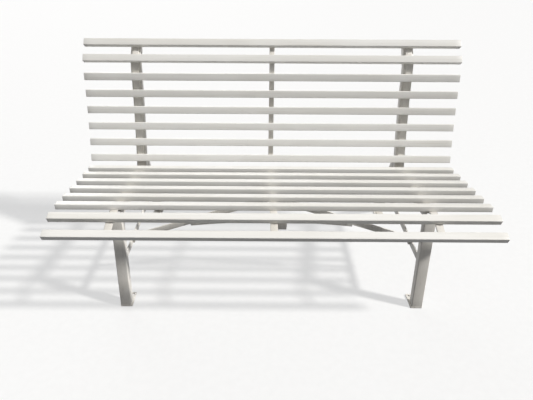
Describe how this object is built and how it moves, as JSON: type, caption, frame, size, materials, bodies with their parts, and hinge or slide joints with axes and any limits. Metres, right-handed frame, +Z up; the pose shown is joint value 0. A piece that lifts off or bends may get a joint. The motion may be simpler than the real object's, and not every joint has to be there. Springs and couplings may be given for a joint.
{
  "type": "garden bench",
  "caption": "Slatted garden bench: narrow painted wooden slats on bent steel strips and side rails, with a rolled front edge, a reclined back and splayed legs on foot plates.",
  "frame": {"origin": "on the floor, under the middle of the whole bench", "axes": "+Z up, +Y from the front of the seat towards the back, +X to the right of someone who faces the bench"},
  "size_m": [1.5, 0.7792, 0.8363],
  "materials": {
    "slat_paint": "satin off-white paint over planed softwood",
    "frame_paint": "satin off-white paint over steel",
    "fixings": "dull zinc plate"
  },
  "bodies": {
    "root": {"seat_slat_1": "slat_paint", "seat_slat_2": "slat_paint", "seat_slat_3": "slat_paint", "seat_slat_4": "slat_paint", "seat_slat_5": "slat_paint", "seat_slat_6": "slat_paint", "seat_slat_7": "slat_paint", "seat_slat_8": "slat_paint", "back_slat_1": "slat_paint", "back_slat_2": "slat_paint", "back_slat_3": "slat_paint", "back_slat_4": "slat_paint", "back_slat_5": "slat_paint", "back_slat_6": "slat_paint", "back_slat_7": "slat_paint", "back_slat_8": "slat_paint", "seat_strip_centre": "frame_paint", "back_strip_centre": "frame_paint", "stay_tie": "frame_paint", "slat_clip": "frame_paint", "seat_strip_left": "frame_paint", "back_strip_left": "frame_paint", "seat_rail_left": "frame_paint", "back_rail_left": "frame_paint", "front_leg_left": "frame_paint", "rear_leg_left": "frame_paint", "front_foot_plate_left": "frame_paint", "rear_foot_plate_left": "frame_paint", "side_stretcher_left": "frame_paint", "diagonal_stay_left": "frame_paint", "stay_bolt_left": "fixings", "stay_nut_left": "fixings", "tie_bolt_left": "fixings", "tie_nut_left": "fixings", "seat_strip_right": "frame_paint", "back_strip_right": "frame_paint", "seat_rail_right": "frame_paint", "back_rail_right": "frame_paint", "front_leg_right": "frame_paint", "rear_leg_right": "frame_paint", "front_foot_plate_right": "frame_paint", "rear_foot_plate_right": "frame_paint", "side_stretcher_right": "frame_paint", "diagonal_stay_right": "frame_paint", "stay_bolt_right": "fixings", "stay_nut_right": "fixings", "tie_bolt_right": "fixings", "tie_nut_right": "fixings"}
  },
  "joints": []
}
